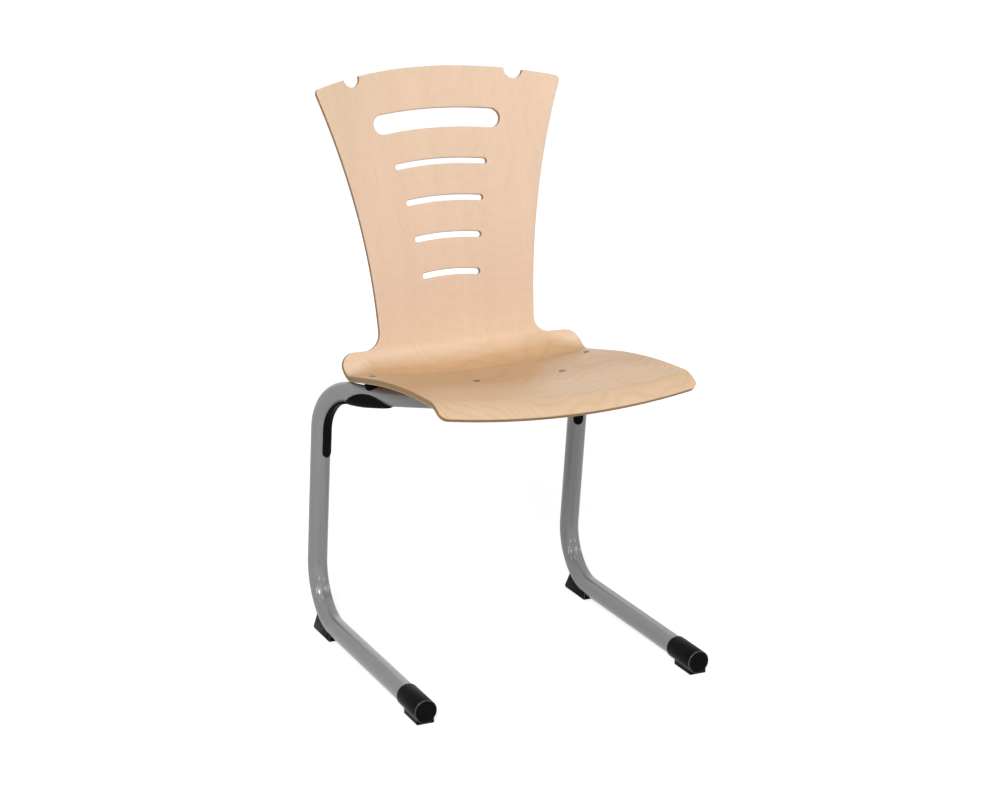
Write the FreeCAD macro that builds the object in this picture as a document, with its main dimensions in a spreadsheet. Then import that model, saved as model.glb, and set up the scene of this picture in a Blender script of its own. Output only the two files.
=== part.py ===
import FreeCAD, Part
import Sketcher
import math
import os

V = FreeCAD.Vector

# Driving sizes, in millimetres, with angles in degrees.
# The frame stands on z 0, faces -Y and is mirrored about x 0.
SIZES = (
    # steel tube frame
    ("tube_diameter", 32.0),
    ("tube_wall", 2.0),
    ("runner_spacing", 457.0),
    ("runner_lift", 4.2),
    ("heel_y", 214.0),
    ("bend_radius", 84.0),
    ("upright_lean", 7.6),
    ("rail_height", 416.2),
    ("rail_front_height", 433.3),
    ("rail_corner_reach", 20.0),
    ("rail_bend_radius", 110.0),
    ("dent_depth", 5.5),
    ("dent_middle_angle", 38.0),
    ("dent_half_angle", 31.0),
    # seat screws, measured on the mirrored pairs
    ("rear_screw_spacing", 371.2),
    ("rear_screw_y", 56.5),
    ("front_screw_spacing", 144.6),
    ("front_screw_y", -84.1),
    ("screw_head_diameter", 12.0),
    ("screw_head_dome", 1.0),
    ("screw_head_rim", 0.6),
    ("screw_head_cone", 3.0),
    ("screw_shank_diameter", 6.0),
    ("screw_length", 34.0),
    ("screw_socket_width", 4.0),
    ("screw_socket_depth", 2.2),
    ("nut_diameter", 9.0),
    ("nut_length", 14.0),
    ("nut_collar_diameter", 12.0),
    ("nut_collar_drop", 3.6),
    ("nut_collar_height", 3.0),
    ("spacer_diameter", 24.0),
    # front foot cap
    ("cap_front_y", -250.0),
    ("cap_length", 72.0),
    ("cap_wall", 1.9),
    ("cap_end_wall", 3.0),
    ("cap_edge_round", 2.0),
    ("cap_mouth_taper", 1.2),
    ("cap_base_width", 27.8),
    ("cap_base_length", 51.0),
    ("cap_base_inset", 1.6),
    ("base_corner_round", 1.5),
    # rear foot block
    ("foot_rear_y", 188.3),
    ("foot_front_y", 112.0),
    ("foot_width", 31.0),
    ("foot_corner_round", 3.0),
    ("foot_peg_angle", 72.0),
    # black guard on the inside of the upper bend
    ("guard_thickness", 3.4),
    ("guard_width", 16.3),
    ("guard_drop", 46.5),
    ("saddle_length", 87.0),
    ("saddle_rise", 6.5),
    ("saddle_shift", 6.5),
    ("peg_diameter", 7.0),
    ("peg_reach", 7.0),
    # moulded plywood shell, its centre line on the sitting side
    ("shell_thickness", 10.3),
    ("shell_width", 414.4),
    ("blank_margin", 10.0),
    ("outline_cut_depth", 120.0),
    ("seat_cut_depth", 340.0),
    ("seat_side_length", 340.0),
    ("crotch_y", 147.8),
    ("crotch_height", 418.8),
    ("crotch_radius", 50.3),
    ("seat_slope", 11.1),
    ("seat_flat_length", 144.2),
    ("crown_radius", 1412.0),
    ("crown_end_slope", 1.5),
    ("lip_radius", 60.8),
    ("lip_end_slope", 47.0),
    ("back_lean", 8.9),
    ("back_radius", 2240.0),
    ("lip_overrun_angle", 12.0),
    ("lip_dish_radius", 7600.0),
    ("crown_dish_radius", 1750.0),
    ("seat_dish_radius", 1550.0),
    ("waist_dish_radius", 813.0),
    ("top_dish_radius", 511.0),
    # outline of the shell, heights up the back from the crotch
    ("back_plane_lean", 14.0),
    ("crest_height", 487.0),
    ("crest_radius", 689.0),
    ("top_corner_round", 7.6),
    ("flank_radius", 1177.0),
    ("flank_middle_height", 36.1),
    ("waist_width", 268.4),
    ("waist_round", 25.9),
    ("ear_height", 44.8),
    ("ear_round", 24.3),
    ("notch_spacing", 280.0),
    ("notch_radius", 15.0),
    ("front_edge_radius", 1270.0),
    ("front_corner_round", 13.7),
    # grip slot and the four narrow slots under it
    ("grip_height", 403.6),
    ("grip_length", 218.5),
    ("grip_width", 31.5),
    ("grip_arch_radius", 650.0),
    ("first_slot_height", 334.0),
    ("slot_pitch", 59.2),
    ("slot_width", 9.2),
    ("slot_length_1", 159.0),
    ("slot_length_2", 133.8),
    ("slot_length_3", 115.6),
    ("slot_length_4", 100.2),
    ("slot_arch_radius_1", 514.0),
    ("slot_arch_radius_2", 449.0),
    ("slot_arch_radius_3", 415.0),
    ("slot_arch_radius_4", 325.0),
    # clearances
    ("seat_gap", 0.2),
    ("slip_gap", 0.1),
    ("hole_gap", 0.3),
    ("overrun", 40.0),
)

doc = FreeCAD.newDocument("chair")
sheet = doc.addObject("Spreadsheet::Sheet", "sizes")
for row, (name, value) in enumerate(SIZES, start=1):
    sheet.set("A%d" % row, name)
    sheet.set("B%d" % row, str(value))
    sheet.setAlias("B%d" % row, name)
doc.recompute()


def size(name):
    """A driving size as the sheet holds it."""
    return float(getattr(sheet, name))


# Places that follow from the driving sizes
TUBE_R = size("tube_diameter") / 2
RUNNER_X = size("runner_spacing") / 2
RUNNER_Z = size("runner_lift") + TUBE_R
SIDES = (("left", -1), ("right", 1))
TOUCH = 1e-6
DERIVED = []


def record(name, value):
    """Put a place that follows from the driving sizes on the sheet."""
    row = len(SIZES) + 1 + len(DERIVED)
    DERIVED.append(name)
    sheet.set("A%d" % row, name)
    sheet.set("B%d" % row, str(value))
    sheet.setAlias("B%d" % row, name)
    sheet.recompute()


def deg(name):
    return math.radians(size(name))


def polar(angle):
    """Unit vector in the YZ plane, angle measured from +Y towards +Z."""
    return V(0, math.cos(angle), math.sin(angle))


# Frame axis: straight runs joined by tangent arcs
def frame_corners(side):
    """Corner points of one half of the frame axis, from the foot to the nose."""
    x = side * RUNNER_X
    tube_end = V(x, size("cap_front_y") + size("cap_end_wall"), RUNNER_Z)
    heel = V(x, size("heel_y"), RUNNER_Z)
    rise = size("rail_height") - RUNNER_Z
    shoulder = V(x, size("heel_y") - rise * math.tan(deg("upright_lean")), size("rail_height"))
    rear = V(side * size("rear_screw_spacing") / 2, size("rear_screw_y"), 0)
    front = V(side * size("front_screw_spacing") / 2, size("front_screw_y"), 0)
    along = (front - rear).normalize()
    knee = rear - along * size("rail_corner_reach")
    knee.z = size("rail_height")
    front.z = size("rail_front_height")
    rail = front - knee
    nose = knee + rail * (knee.x / (knee.x - front.x))
    return tube_end, heel, shoulder, knee, nose


def corner_arc(before, corner, after, radius):
    """Tangent arc at a corner: its start, middle and end."""
    back = (before - corner).normalize()
    on = (after - corner).normalize()
    half = back.getAngle(on) / 2
    reach = radius / math.tan(half)
    inward = (back + on).normalize()
    centre = corner + inward * (radius / math.sin(half))
    return corner + back * reach, centre - inward * radius, corner + on * reach


def bent_wire(points, radii):
    """Straight runs between the points, with an arc of its own radius at each corner."""
    edges = []
    start = points[0]
    for before, corner, after, radius in zip(points, points[1:], points[2:], radii):
        first, middle, last = corner_arc(before, corner, after, radius)
        edges.append(Part.LineSegment(start, first).toShape())
        edges.append(Part.Arc(first, middle, last).toShape())
        start = last
    edges.append(Part.LineSegment(start, points[-1]).toShape())
    return Part.Wire(edges)


LEFT = frame_corners(-1)
RIGHT = frame_corners(1)
BEND = size("bend_radius")
FRAME_POINTS = LEFT + RIGHT[-2::-1]
FRAME_RADII = (BEND, BEND, size("rail_bend_radius"), BEND, size("rail_bend_radius"), BEND, BEND)


def holder(name, shape):
    item = doc.addObject("Part::Feature", name)
    item.Shape = shape
    return item


def rod(name, radius_formula):
    """Round rod of a bound radius along the whole frame axis."""
    ring = doc.addObject("Part::Circle", name + "_ring")
    ring.setExpression("Radius", radius_formula)
    ring.Placement = FreeCAD.Placement(LEFT[0], FreeCAD.Rotation(V(0, 0, 1), V(0, 1, 0)))
    sweep = doc.addObject("Part::Sweep", name)
    sweep.Sections = [ring]
    sweep.Spine = (frame_axis, ["Edge%d" % (i + 1) for i in range(len(frame_axis.Shape.Edges))])
    sweep.Solid = True
    return sweep


frame_axis = holder("frame_axis", bent_wire(FRAME_POINTS, FRAME_RADII))
tube_outside = rod("tube_outside", "sizes.tube_diameter / 2")
tube_bore = rod("tube_bore", "sizes.tube_diameter / 2 - sizes.tube_wall")
tube_envelope = rod("tube_envelope", "sizes.tube_diameter / 2 + sizes.seat_gap")
guard_outside = rod("guard_outside", "sizes.tube_diameter / 2 + sizes.guard_thickness")
doc.recompute()


# Shell: centre line on the sitting side, tangent arcs in the YZ plane
def shell_pieces():
    """Where the seat meets the crotch bend, and the pieces each way from there.

    A piece is (length, turn, dish at its start, dish at its end, steps). The
    turn is the change of slope and the dish is the sideways curvature.
    """
    lip_turn = deg("lip_end_slope") + deg("crown_end_slope")
    overrun_turn = deg("lip_overrun_angle")
    crown_turn = deg("seat_slope") - deg("crown_end_slope")
    crotch_turn = deg("seat_slope") + math.pi / 2 - deg("back_lean")
    reach = size("crotch_radius") * math.tan(crotch_turn / 2)
    back_length = size("crest_height") + size("overrun") - reach
    lip_dish, crown_dish, seat_dish, waist_dish, top_dish = [
        1 / size(part + "_dish_radius") for part in ("lip", "crown", "seat", "waist", "top")]
    forwards = (
        (size("seat_flat_length") - reach, 0, seat_dish, seat_dish, 4),
        (size("crown_radius") * crown_turn, crown_turn, seat_dish, crown_dish, 9),
        (size("lip_radius") * lip_turn, lip_turn, crown_dish, lip_dish, 3),
        (size("lip_radius") * overrun_turn, overrun_turn, lip_dish, lip_dish, 1),
    )
    backwards = (
        (size("crotch_radius") * crotch_turn, crotch_turn, seat_dish, waist_dish, 5),
        (back_length, -back_length / size("back_radius"), waist_dish, top_dish, 12),
    )
    corner = V(0, size("crotch_y"), size("crotch_height"))
    slope = -deg("seat_slope")
    return corner - polar(slope) * reach, slope, forwards, backwards


def stations(point, slope, pieces, way):
    """Points along the pieces, with the slope and dish at each; way is 1 or -1."""
    found = [(point, slope, pieces[0][2])]
    for length, turn, dish, end_dish, steps in pieces:
        step, bend = length / steps, turn / steps
        for i in range(1, steps + 1):
            chord = step if not bend else 2 * step / bend * math.sin(bend / 2)
            point = point + polar(slope + bend / 2) * (chord * way)
            slope += bend
            found.append((point, slope, dish + (end_dish - dish) * i / steps))
    return found


def shell_section(point, slope, dish):
    """Thick arc across the shell, hollow towards the sitter."""
    up = polar(slope + math.pi / 2)
    half, thick, radius = size("shell_width") / 2 + size("blank_margin"), size("shell_thickness"), 1 / dish
    centre = point + up * radius
    tilt = math.asin(half / radius)
    spoke = [V(sign * math.sin(tilt), 0, 0) - up * math.cos(tilt) for sign in (-1, 1)]
    inner = [centre + s * radius for s in spoke]
    outer = [centre + s * (radius + thick) for s in spoke]
    return Part.Wire([
        Part.Arc(inner[0], point, inner[1]).toShape(),
        Part.LineSegment(inner[1], outer[1]).toShape(),
        Part.Arc(outer[1], point - up * thick, outer[0]).toShape(),
        Part.LineSegment(outer[0], inner[0]).toShape(),
    ])


SEAT_START, SEAT_SLOPE, FORWARDS, BACKWARDS = shell_pieces()
FRONT_STATIONS = stations(SEAT_START, SEAT_SLOPE, FORWARDS, -1)
BACK_STATIONS = stations(SEAT_START, SEAT_SLOPE, BACKWARDS, 1)
SHELL_STATIONS = FRONT_STATIONS[:0:-1] + BACK_STATIONS
blank = holder("moulded_blank", Part.makeLoft([shell_section(*s) for s in SHELL_STATIONS], True))


# Sketches and pockets of a body
def new_body(label):
    body = doc.addObject("PartDesign::Body", label)
    body.Label = label
    return body


def origin_plane(body, role):
    return [f for f in body.Origin.OriginFeatures if f.Role == role][0]


def new_sketch(body, name, role, base=(0, 0, 0), tilt=0):
    """Sketch on an origin plane, moved by base and tipped about its own x by tilt."""
    sketch = body.newObject("Sketcher::SketchObject", name)
    sketch.AttachmentSupport = [(origin_plane(body, role), "")]
    sketch.MapMode = "FlatFace"
    sketch.AttachmentOffset = FreeCAD.Placement(V(*base), FreeCAD.Rotation(V(1, 0, 0), tilt))
    return sketch


# names of the ends of a sketch element, and of the sketch axes and origin
START, END, CENTRE = 1, 2, 3
ACROSS, UPRIGHT = -1, -2
ORIGIN = (-1, 1)


def present(sketch, kind, refs):
    """The value that a constraint would have in the sketch as it is drawn."""
    if kind == "Radius":
        return sketch.Geometry[refs[0]].Radius
    step = sketch.getPoint(refs[2], refs[3]) - sketch.getPoint(refs[0], refs[1])
    return step.x if kind == "DistanceX" else step.y


def drive(sketch, kind, refs, formula):
    """Constraint whose value follows a formula of the sheet's sizes."""
    index = sketch.addConstraint(Sketcher.Constraint(kind, *refs, present(sketch, kind, refs)))
    sketch.setExpression("Constraints[%d]" % index, formula)


def relate(sketch, kind, *refs):
    sketch.addConstraint(Sketcher.Constraint(kind, *refs))


def on_circle(centre, radius, towards):
    """Point of a circle that lies in the direction of another point."""
    step = (towards - centre).normalize()
    return centre + step * radius


def upper_crossing(c1, r1, c2, r2):
    """The higher of the two points where two circles cross."""
    step = c2 - c1
    apart = step.Length
    along = (r1 * r1 - r2 * r2 + apart * apart) / (2 * apart)
    off = math.sqrt(r1 * r1 - along * along)
    step.normalize()
    side = V(-step.y, step.x, 0)
    found = [c1 + step * along + side * off, c1 + step * along - side * off]
    return max(found, key=lambda p: p.y)


def draw_loop(sketch, points, centres):
    """Closed loop through the points. Each run is straight, or an arc about its centre."""
    for i, centre in enumerate(centres):
        first, last = points[i], points[(i + 1) % len(points)]
        if centre is None:
            sketch.addGeometry(Part.LineSegment(first, last))
        else:
            middle = (first + last) * 0.5
            radius = (first - centre).Length
            sketch.addGeometry(Part.Arc(first, on_circle(centre, radius, middle), last))


def join(sketch, count, smooth, first=0):
    """Close a loop: the joints named in smooth are tangent, the others only meet."""
    for n in range(count):
        kind = "Tangent" if n in smooth else "Coincident"
        # an arc may run from its end to its start, so the touching ends are looked up
        i, after = first + n, first + (n + 1) % count
        ends = [(p, q) for p in (START, END) for q in (START, END)
                if sketch.getPoint(i, p).isEqual(sketch.getPoint(after, q), TOUCH)]
        relate(sketch, kind, i, ends[0][0], after, ends[0][1])


def pocket(body, sketch, depth_formula):
    """Cut a sketch out of a body, the depth shared between both sides of its plane."""
    cut = body.newObject("PartDesign::Pocket", sketch.Name + "_cut")
    cut.Profile = sketch
    cut.SideType = "Symmetric"
    cut.setExpression("Length", depth_formula)
    return cut


LIP_TIP = FRONT_STATIONS[-2][0]
record("lip_y", LIP_TIP.y)
record("lip_z", LIP_TIP.z)
shell = new_body("seat_shell")
shell.BaseFeature = blank


def back_plane_sketch(name):
    """Sketch square to the back, with its origin at the crotch and y up the back."""
    sketch = new_sketch(shell, name, "XZ_Plane", tilt=-size("back_plane_lean"))
    sketch.setExpression("AttachmentOffset.Base.y", "sizes.crotch_height")
    sketch.setExpression("AttachmentOffset.Base.z", "-sizes.crotch_y")
    sketch.setExpression("AttachmentOffset.Rotation.Angle", "-sizes.back_plane_lean")
    return sketch


def back_outline():
    """The waste beside and above the right half of the back."""
    sketch = back_plane_sketch("back_outline")
    side, ear, over = size("shell_width") / 2, size("ear_height"), size("overrun")
    ear_r, waist_r, corner_r = size("ear_round"), size("waist_round"), size("top_corner_round")
    flank_r, crest_r, notch_r = size("flank_radius"), size("crest_radius"), size("notch_radius")
    flank = V(size("waist_width") / 2 + flank_r, size("flank_middle_height"), 0)
    crest = V(0, size("crest_height") - crest_r, 0)
    ear_c = V(side - ear_r, ear - ear_r, 0)
    waist_y = ear + waist_r
    waist_c = V(flank.x - math.sqrt((flank_r - waist_r) ** 2 - (waist_y - flank.y) ** 2), waist_y, 0)
    corner_c = upper_crossing(flank, flank_r + corner_r, crest, crest_r - corner_r)
    notch_x = size("notch_spacing") / 2
    notch_c = V(notch_x, crest.y + math.sqrt(crest_r ** 2 - notch_x ** 2), 0)
    middle, half = math.asin(notch_x / crest_r), 2 * math.asin(notch_r / (2 * crest_r))
    lips = [crest + V(math.sin(a), math.cos(a), 0) * crest_r for a in (middle + half, middle - half)]
    top = size("crest_height")
    points = [
        V(side, -over, 0), V(side, ear_c.y, 0), V(ear_c.x, ear, 0), V(waist_c.x, ear, 0),
        on_circle(flank, flank_r, waist_c), on_circle(flank, flank_r, corner_c),
        on_circle(crest, crest_r, corner_c), lips[0], lips[1],
        V(0, top, 0), V(0, top + 2 * over, 0), V(side + over, top + 2 * over, 0), V(side + over, -over, 0)]
    centres = [None, ear_c, None, waist_c, flank, corner_c, crest, notch_c, crest,
               None, None, None, None]
    draw_loop(sketch, points, centres)
    join(sketch, len(points), smooth=(0, 1, 2, 3, 4, 5))
    for line in (0, 9, 11):
        relate(sketch, "Vertical", line)
    for line in (2, 10, 12):
        relate(sketch, "Horizontal", line)
    relate(sketch, "PointOnObject", 6, CENTRE, UPRIGHT)
    relate(sketch, "Coincident", 6, CENTRE, 8, CENTRE)
    relate(sketch, "Equal", 6, 8)
    relate(sketch, "PointOnObject", 9, START, UPRIGHT)
    relate(sketch, "PointOnObject", 7, CENTRE, 6)
    for arc, name in ((1, "ear_round"), (3, "waist_round"), (4, "flank_radius"),
                      (5, "top_corner_round"), (6, "crest_radius"), (7, "notch_radius")):
        drive(sketch, "Radius", (arc,), "sizes." + name)
    drive(sketch, "DistanceX", (*ORIGIN, 4, CENTRE), "sizes.waist_width / 2 + sizes.flank_radius")
    drive(sketch, "DistanceY", (*ORIGIN, 4, CENTRE), "sizes.flank_middle_height")
    drive(sketch, "DistanceX", (*ORIGIN, 0, START), "sizes.shell_width / 2")
    drive(sketch, "DistanceY", (0, START, *ORIGIN), "sizes.overrun")
    drive(sketch, "DistanceY", (*ORIGIN, 2, START), "sizes.ear_height")
    drive(sketch, "DistanceY", (*ORIGIN, 9, START), "sizes.crest_height")
    drive(sketch, "DistanceX", (*ORIGIN, 7, CENTRE), "sizes.notch_spacing / 2")
    drive(sketch, "DistanceX", (*ORIGIN, 11, START), "sizes.shell_width / 2 + sizes.overrun")
    drive(sketch, "DistanceY", (*ORIGIN, 10, START), "sizes.crest_height + 2 * sizes.overrun")
    return sketch


def seat_outline():
    """The waste beside and before the right half of the seat."""
    sketch = new_sketch(shell, "seat_outline", "XY_Plane", tilt=size("lip_end_slope"))
    sketch.setExpression("AttachmentOffset.Base.y", "sizes.lip_y")
    sketch.setExpression("AttachmentOffset.Base.z", "sizes.lip_z")
    sketch.setExpression("AttachmentOffset.Rotation.Angle", "sizes.lip_end_slope")
    side, over, front_r = size("shell_width") / 2, size("overrun"), size("front_edge_radius")
    corner_r, length = size("front_corner_round"), size("seat_side_length")
    front_c = V(0, front_r, 0)
    corner_x = side - corner_r
    corner_c = V(corner_x, front_r - math.sqrt((front_r - corner_r) ** 2 - corner_x ** 2), 0)
    points = [
        V(0, 0, 0), on_circle(front_c, front_r, front_c + (corner_c - front_c) * 2),
        V(side, corner_c.y, 0), V(side, length, 0), V(side + over, length, 0),
        V(side + over, -over, 0), V(0, -over, 0)]
    draw_loop(sketch, points, [front_c, corner_c] + [None] * 5)
    join(sketch, len(points), smooth=(0, 1))
    for line in (2, 4, 6):
        relate(sketch, "Vertical", line)
    for line in (3, 5):
        relate(sketch, "Horizontal", line)
    relate(sketch, "Coincident", 6, END, *ORIGIN)
    relate(sketch, "PointOnObject", 0, CENTRE, UPRIGHT)
    drive(sketch, "Radius", (0,), "sizes.front_edge_radius")
    drive(sketch, "Radius", (1,), "sizes.front_corner_round")
    drive(sketch, "DistanceX", (*ORIGIN, 2, START), "sizes.shell_width / 2")
    drive(sketch, "DistanceY", (*ORIGIN, 3, START), "sizes.seat_side_length")
    drive(sketch, "DistanceX", (*ORIGIN, 4, START), "sizes.shell_width / 2 + sizes.overrun")
    drive(sketch, "DistanceY", (5, START, *ORIGIN), "sizes.overrun")
    return sketch


def arched_slots():
    """The grip slot and the narrow slots under it, each arched about the middle line."""
    sketch = back_plane_sketch("arched_slots")
    slots = [("grip_height", "grip_length", "grip_width", "grip_arch_radius")]
    for n in range(4):
        slots.append(("first_slot_height - %d * sizes.slot_pitch" % n, "slot_length_%d" % (n + 1),
                      "slot_width", "slot_arch_radius_%d" % (n + 1)))
    for n, (height_name, length_name, width_name, arch_name) in enumerate(slots):
        steps = (n - 1) * size("slot_pitch") if n else 0
        height = size(height_name.split()[0]) - steps
        length, width, arch = size(length_name), size(width_name), size(arch_name)
        centre, half = V(0, height - arch, 0), width / 2
        lean = math.asin((length / 2 - half) / arch)
        out = [V(math.sin(a), math.cos(a), 0) for a in (-lean, lean)]
        ends = [centre + spoke * arch for spoke in out]
        points = [centre + out[0] * (arch - half), centre + out[1] * (arch - half),
                  centre + out[1] * (arch + half), centre + out[0] * (arch + half)]
        beyond = [ends[0] - V(width, 0, 0), ends[1] + V(width, 0, 0)]
        first = len(sketch.Geometry)
        for start, middle, end in (
                (points[0], centre + V(0, arch - half, 0), points[1]),
                (points[1], on_circle(ends[1], half, beyond[1]), points[2]),
                (points[2], centre + V(0, arch + half, 0), points[3]),
                (points[3], on_circle(ends[0], half, beyond[0]), points[0])):
            sketch.addGeometry(Part.Arc(start, middle, end))
        join(sketch, 4, smooth=(0, 1, 2, 3), first=first)
        relate(sketch, "PointOnObject", first, CENTRE, UPRIGHT)
        relate(sketch, "Coincident", first, CENTRE, first + 2, CENTRE)
        arch_word, width_word = "sizes." + arch_name, "sizes." + width_name
        drive(sketch, "Radius", (first,), "%s - %s / 2" % (arch_word, width_word))
        drive(sketch, "Radius", (first + 2,), "%s + %s / 2" % (arch_word, width_word))
        drive(sketch, "DistanceY", (*ORIGIN, first, CENTRE), "sizes.%s - %s" % (height_name, arch_word))
        reach = "(sizes.%s - %s) / 2" % (length_name, width_word)
        drive(sketch, "DistanceX", (*ORIGIN, first + 1, CENTRE), reach)
        drive(sketch, "DistanceX", (first + 3, CENTRE, *ORIGIN), reach)
    return sketch


back_cut = pocket(shell, back_outline(), "2 * sizes.outline_cut_depth")
seat_cut = pocket(shell, seat_outline(), "2 * sizes.seat_cut_depth")
doc.recompute()
mirrored = shell.newObject("PartDesign::Mirrored", "both_sides")
mirrored.Originals = [back_cut, seat_cut]
mirrored.MirrorPlane = (origin_plane(shell, "YZ_Plane"), [""])
shell.Tip = mirrored
slots_cut = pocket(shell, arched_slots(), "2 * sizes.outline_cut_depth")


# Screws: each axis is square to the rail, in the upright plane of the rail
RAIL = {side: (frame_corners(side)[4] - frame_corners(side)[3]).normalize() for _, side in SIDES}
RAIL_UP = {side: (V(0, 0, 1) - RAIL[side] * RAIL[side].z).normalize() for _, side in SIDES}


def face_point(end, side):
    """Point of the sitting face straight above the place of a screw."""
    place = V(side * size(end + "_screw_spacing") / 2, size(end + "_screw_y"), size("rail_height"))
    probe = Part.makeLine(place, place + V(0, 0, size("crest_height")))
    return max((vertex.Point for vertex in probe.common(blank.Shape).Vertexes), key=lambda p: p.z)


def upright_placement(point, up):
    return FreeCAD.Placement(point, FreeCAD.Rotation(V(0, 0, 1), up))


def primitive(kind, name, placement, **formulas):
    """Part primitive with its sizes bound to the sheet."""
    item = doc.addObject("Part::" + kind, name)
    for prop, formula in formulas.items():
        item.setExpression(prop, formula)
    item.Placement = placement
    return item


def cut(name, base, *tools):
    result = doc.addObject("Part::Cut", name)
    result.Base = base
    result.Tool = tools[0] if len(tools) == 1 else fuse(name + "_tools", *tools)
    return result


def fuse(name, *items):
    result = doc.addObject("Part::MultiFuse", name)
    result.Shapes = list(items)
    return result


def common(name, *items):
    result = doc.addObject("Part::MultiCommon", name)
    result.Shapes = list(items)
    return result


def shifted(placement, step):
    """The placement moved along its own z."""
    return placement * FreeCAD.Placement(V(0, 0, step), FreeCAD.Rotation())


DOME_R = size("screw_head_diameter") ** 2 / size("screw_head_dome") / 8 + size("screw_head_dome") / 2
record("dome_radius", DOME_R)


def seat_screw(tag, place):
    """Domed countersunk screw with a hexagon socket, head upwards at the face point."""
    tip = shifted(place, -size("screw_length"))
    cone_foot = shifted(place, -size("screw_head_cone"))
    crown = size("screw_head_rim") + size("screw_head_dome")
    rim = primitive("Cylinder", "head_rim_" + tag, place, Radius="sizes.screw_head_diameter / 2",
                    Height="sizes.screw_head_rim + sizes.screw_head_dome")
    ball = primitive("Sphere", "head_dome_" + tag, shifted(place, crown - DOME_R), Radius="sizes.dome_radius")
    cone = primitive("Cone", "head_cone_" + tag, cone_foot, Radius1="sizes.screw_shank_diameter / 2",
                     Radius2="sizes.screw_head_diameter / 2", Height="sizes.screw_head_cone")
    shank = primitive("Cylinder", "shank_" + tag, tip, Radius="sizes.screw_shank_diameter / 2",
                      Height="sizes.screw_length - sizes.screw_head_cone / 2")
    socket = primitive("Prism", "socket_" + tag, shifted(place, crown - size("screw_socket_depth")),
                       Circumradius="sizes.screw_socket_width / sqrt(3)", Height="sizes.screw_socket_depth")
    socket.Polygon = 6
    solid = fuse("screw_solid_" + tag, common("head_" + tag, rim, ball), cone, shank)
    return cut("seat_screw_" + tag, solid, socket)


def screw_hole(tag, place):
    """Clearance hole and countersink through the shell."""
    wide, narrow = ["sizes.screw_%s_diameter / 2 + sizes." % part for part in ("head", "shank")]
    cutters = (
        ("SubtractiveCylinder", "hole_" + tag, shifted(place, -size("screw_length")),
         {"Radius": narrow + "hole_gap", "Height": "sizes.screw_length"}),
        ("SubtractiveCone", "sink_" + tag, shifted(place, -size("screw_head_cone")),
         {"Radius1": narrow + "slip_gap", "Radius2": wide + "slip_gap", "Height": "sizes.screw_head_cone"}),
        ("SubtractiveCylinder", "rim_room_" + tag, place,
         {"Radius": wide + "slip_gap", "Height": "sizes.screw_head_cone"}),
    )
    for kind, name, placement, formulas in cutters:
        cutter = shell.newObject("PartDesign::" + kind, name)
        cutter.MapMode = "Deactivated"
        cutter.Placement = placement
        for prop, formula in formulas.items():
            cutter.setExpression(prop, formula)


def rivet_nut(tag, top):
    """Threaded sleeve set in the tube wall, with the collar that grips inside."""
    length, collar_top = size("nut_length"), size("nut_collar_drop")
    body = primitive("Cylinder", "nut_body_" + tag, shifted(top, -length),
                     Radius="sizes.nut_diameter / 2", Height="sizes.nut_length")
    collar = primitive("Cylinder", "nut_collar_" + tag, shifted(top, -collar_top - size("nut_collar_height")),
                       Radius="sizes.nut_collar_diameter / 2", Height="sizes.nut_collar_height")
    thread = primitive("Cylinder", "nut_thread_" + tag, shifted(top, -length),
                       Radius="sizes.screw_shank_diameter / 2 + sizes.slip_gap", Height="sizes.nut_length")
    return cut("rivet_nut_" + tag, fuse("nut_solid_" + tag, body, collar), thread)


def seat_spacer(tag, top, to_face):
    """Round pad that fits the tube below and the shell above."""
    record("to_face_" + tag, to_face)
    block = primitive("Cylinder", "spacer_block_" + tag, shifted(top, -TUBE_R),
                      Radius="sizes.spacer_diameter / 2",
                      Height="(sizes.tube_diameter - sizes.shell_thickness) / 2 + sizes.to_face_" + tag)
    shade = holder("shell_shade_" + tag, blank.Shape.copy())
    shade.Placement = FreeCAD.Placement(top.Rotation.multVec(V(0, 0, -size("seat_gap"))), FreeCAD.Rotation())
    passage = primitive("Cylinder", "spacer_hole_" + tag, shifted(top, -TUBE_R),
                        Radius="sizes.screw_shank_diameter / 2 + sizes.hole_gap", Height="sizes.screw_length")
    return cut("seat_spacer_" + tag, block, tube_envelope, shade, passage)


leaves, nut_holes = [], []
for end in ("rear", "front"):
    for side_name, side in SIDES:
        tag = end + "_" + side_name
        face = face_point(end, side)
        place = upright_placement(face, RAIL_UP[side])
        to_crown = (face - frame_corners(side)[3]) * RAIL_UP[side] - TUBE_R
        top = shifted(place, -to_crown)
        screw_hole(tag, place)
        nut_holes.append(primitive("Cylinder", "nut_hole_" + tag, shifted(top, -TUBE_R),
                                   Radius="sizes.nut_diameter / 2 + sizes.slip_gap",
                                   Height="sizes.tube_diameter"))
        leaves += [seat_screw(tag, place), rivet_nut(tag, top), seat_spacer(tag, top, to_crown)]


# Bends: centre of the arc at a corner of the frame axis
def bend_centre(before, corner, after, radius):
    first, middle, last = corner_arc(before, corner, after, radius)
    return middle + ((first + last) * 0.5 - middle).normalize() * radius


LOW_CENTRES = {side: bend_centre(*frame_corners(side)[:3], BEND) for _, side in SIDES}
dents, dent_walls, peg_holes = [], [], []
dent_shift = size("dent_depth") / (1 - math.cos(deg("dent_half_angle")))
record("dent_radius", BEND - TUBE_R + size("dent_depth") - dent_shift)
for side_name, side in SIDES:
    dent_axis = LOW_CENTRES[side] + polar(-deg("dent_middle_angle")) * dent_shift - V(size("overrun"), 0, 0)
    lie = FreeCAD.Placement(dent_axis, FreeCAD.Rotation(V(0, 0, 1), V(1, 0, 0)))
    dents.append(primitive("Cylinder", "dent_" + side_name, lie,
                           Radius="sizes.dent_radius", Height="2 * sizes.overrun"))
    dent_walls.append(primitive("Cylinder", "dent_wall_" + side_name, lie,
                                Radius="sizes.dent_radius + sizes.tube_wall", Height="2 * sizes.overrun"))


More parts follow.
